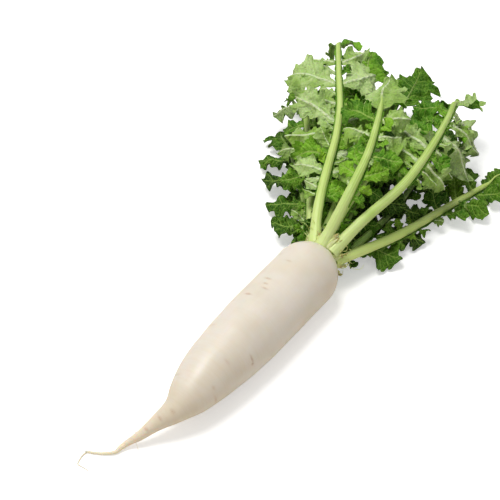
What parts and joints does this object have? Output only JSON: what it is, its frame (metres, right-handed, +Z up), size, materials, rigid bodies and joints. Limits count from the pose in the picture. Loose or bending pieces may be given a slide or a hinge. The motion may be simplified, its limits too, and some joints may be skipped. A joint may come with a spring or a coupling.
{
  "type": "daikon radish",
  "caption": "Long white daikon radish root pulled with its leafy top on, tapering to a thin curved tail and lying on its side.",
  "frame": {"origin": "middle of the narrow flat under the root's body, on the surface it rests on", "axes": "+X along the root from its tail to its leaves, +Y to the left of that, +Z up from the surface"},
  "size_m": [0.6082, 0.2948, 0.1187],
  "materials": {
    "root_skin": "satin, creamy white",
    "crown_skin": "satin, pale green",
    "stalk_skin": "satin, light yellow-green",
    "leaf_blade": "matt, mid green with pale veins"
  },
  "bodies": {
    "root": {"crown": "crown_skin", "leaf_01_blade": "leaf_blade", "leaf_01_stalk": "stalk_skin", "leaf_02_blade": "leaf_blade", "leaf_02_stalk": "stalk_skin", "leaf_03_blade": "leaf_blade", "leaf_03_stalk": "stalk_skin", "leaf_04_blade": "leaf_blade", "leaf_04_stalk": "stalk_skin", "leaf_05_blade": "leaf_blade", "leaf_05_stalk": "stalk_skin", "leaf_06_blade": "leaf_blade", "leaf_06_stalk": "stalk_skin", "leaf_07_blade": "leaf_blade", "leaf_07_stalk": "stalk_skin", "leaf_08_blade": "leaf_blade", "leaf_08_stalk": "stalk_skin", "leaf_09_blade": "leaf_blade", "leaf_09_stalk": "stalk_skin", "leaf_10_blade": "leaf_blade", "leaf_10_stalk": "stalk_skin", "leaf_11_blade": "leaf_blade", "leaf_11_stalk": "stalk_skin", "root": "root_skin"}
  },
  "joints": []
}
